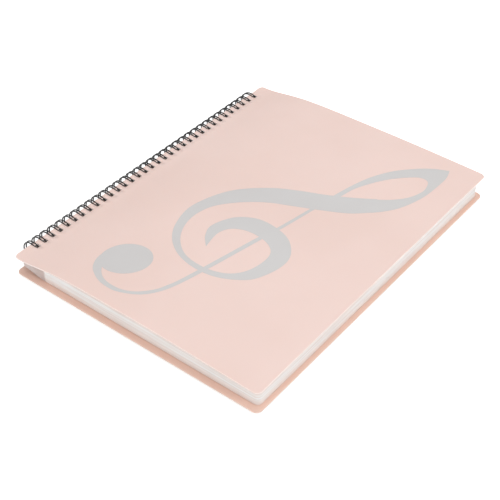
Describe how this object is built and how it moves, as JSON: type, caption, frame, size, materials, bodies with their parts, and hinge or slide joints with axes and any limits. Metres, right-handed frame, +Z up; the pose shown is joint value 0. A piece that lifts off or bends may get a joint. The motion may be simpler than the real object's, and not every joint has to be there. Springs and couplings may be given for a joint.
{
  "type": "music folder",
  "caption": "A4 music folder: clear pocket leaves between two soft pink plastic covers on a black double-loop wire, with a grey treble clef on the front.",
  "frame": {"origin": "under the middle of the closed folder, at the level of the lowest point of the wire", "axes": "+X from the spine to the fore-edge, +Y from the tail to the head of the front cover, +Z up out of the front cover"},
  "size_m": [0.2498, 0.317, 0.0256],
  "materials": {
    "back_cover": "fine matt, slightly see-through sheet",
    "pocket_leaves": "clear, faintly milky film in many layers",
    "front_cover": "fine matt, slightly see-through sheet",
    "clef_print": "flat printed ink",
    "wire_binding": "black coated steel wire, satin"
  },
  "bodies": {
    "leaves_and_wire": {"pocket_leaves": "pocket_leaves", "wire_binding": "wire_binding"},
    "front": {"front_cover": "front_cover", "clef_print": "clef_print"},
    "back": {"back_cover": "back_cover"}
  },
  "joints": [
    {"name": "front_cover_hinge", "type": "hinge", "parent": "leaves_and_wire", "child": "front", "pos_m": [-0.11515, 0, 0.0098], "axis": [0, -1, 0], "range_deg": [0, 176]},
    {"name": "back_cover_hinge", "type": "hinge", "parent": "leaves_and_wire", "child": "back", "pos_m": [-0.11515, 0, 0.0098], "axis": [0, 1, 0], "range_deg": [0, 180]}
  ]
}
